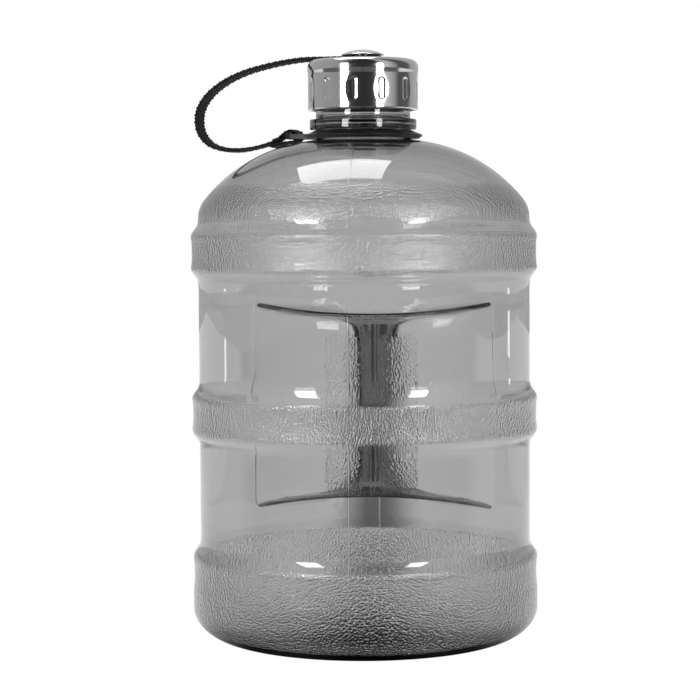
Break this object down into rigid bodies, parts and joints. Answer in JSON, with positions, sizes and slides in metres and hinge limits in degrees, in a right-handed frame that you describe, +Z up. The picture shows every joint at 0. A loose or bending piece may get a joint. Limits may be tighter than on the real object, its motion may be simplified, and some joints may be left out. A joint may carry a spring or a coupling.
{
  "type": "large water jug",
  "caption": "Translucent ribbed water jug with a moulded-in handle, a steel-shelled screw cap and a webbing tether from the cap to a loose neck ring.",
  "frame": {"origin": "on the jug's axis at its foot, on the surface it stands on", "axes": "+Z up along the jug's axis, +Y through the handle post, the tether towards -X"},
  "size_m": [0.1669, 0.165, 0.2803],
  "materials": {
    "jug_plastic": "smoke grey translucent copolyester, glossy with finely grained bands",
    "cap_steel": "satin stainless sheet",
    "rivet_steel": "polished stainless",
    "eyelet_metal": "dark plated",
    "liner_plastic": "moulded black polypropylene",
    "ring_plastic": "satin black flexible plastic",
    "washer_plastic": "smooth nylon",
    "gasket_silicone": "matt white silicone",
    "webbing": "black woven nylon webbing",
    "thread": "black bonded nylon thread"
  },
  "bodies": {
    "jug": {"jug_body": "jug_plastic"},
    "ring": {"neck_ring": "ring_plastic", "strap": "webbing", "strap_stitching": "thread"},
    "swivel": {"strap_eyelet": "eyelet_metal"},
    "cap_carrier": {"swivel_washer": "washer_plastic"},
    "cap": {"cap_shell": "cap_steel", "cap_liner": "liner_plastic", "cap_gasket": "gasket_silicone", "cap_rivet": "rivet_steel", "rivet_washer": "rivet_steel"}
  },
  "joints": [
    {"name": "strap_swing", "type": "hinge", "parent": "jug", "child": "ring", "pos_m": [0, 0, 0.24], "axis": [0, 0, 1], "continuous": true},
    {"name": "strap_rise", "type": "slide", "parent": "ring", "child": "swivel", "axis": [0, 0, 1], "range_m": [0, 0.0076], "deforming": ["strap"]},
    {"name": "cap_lift", "type": "slide", "parent": "jug", "child": "cap_carrier", "axis": [0, 0, 1], "range_m": [0, 0.0076]},
    {"name": "cap_turn", "type": "hinge", "parent": "cap_carrier", "child": "cap", "pos_m": [0, 0, 0.2755], "axis": [0, 0, 1], "range_deg": [0, 540]}
  ],
  "couplings": [
    {"joint": "cap_lift", "follows": "cap_turn", "m_per_rad": 0.00079577},
    {"joint": "strap_rise", "follows": "cap_turn", "m_per_rad": 0.00079577}
  ]
}
